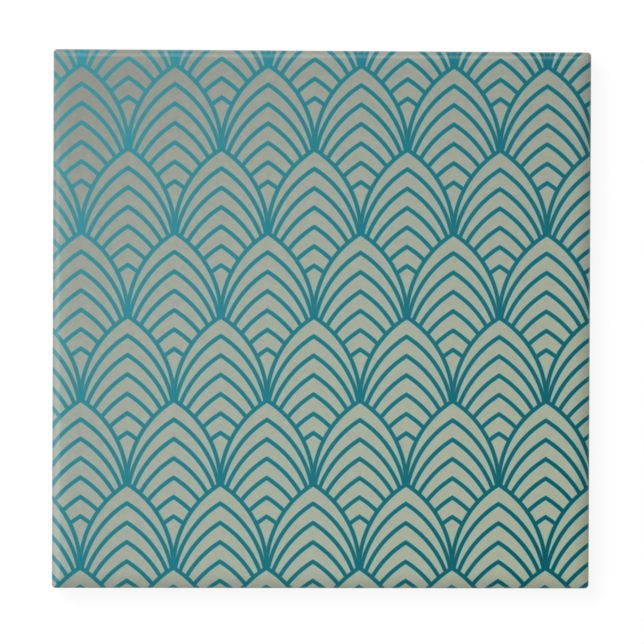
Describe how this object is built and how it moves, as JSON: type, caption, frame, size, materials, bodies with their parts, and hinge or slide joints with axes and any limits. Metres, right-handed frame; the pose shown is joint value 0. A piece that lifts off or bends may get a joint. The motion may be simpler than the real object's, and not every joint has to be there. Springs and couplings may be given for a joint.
{
  "type": "patterned ceramic wall tile",
  "caption": "Square glazed ceramic wall tile with a cushion edge, a keyed back and a printed scallop pattern in teal on sage grey.",
  "frame": {"origin": "centre of the tile on the plane of its back's rim and ribs", "axes": "+Z out of the glazed face, +Y up the printed pattern, +X to its right"},
  "size_m": [0.108, 0.108, 0.006],
  "materials": {
    "glazed_ceramic": "glossy glaze over a printed scallop pattern, teal lines on a sage-grey ground; bare white bisque on the back"
  },
  "bodies": {
    "root": {"tile": "glazed_ceramic"}
  },
  "joints": []
}
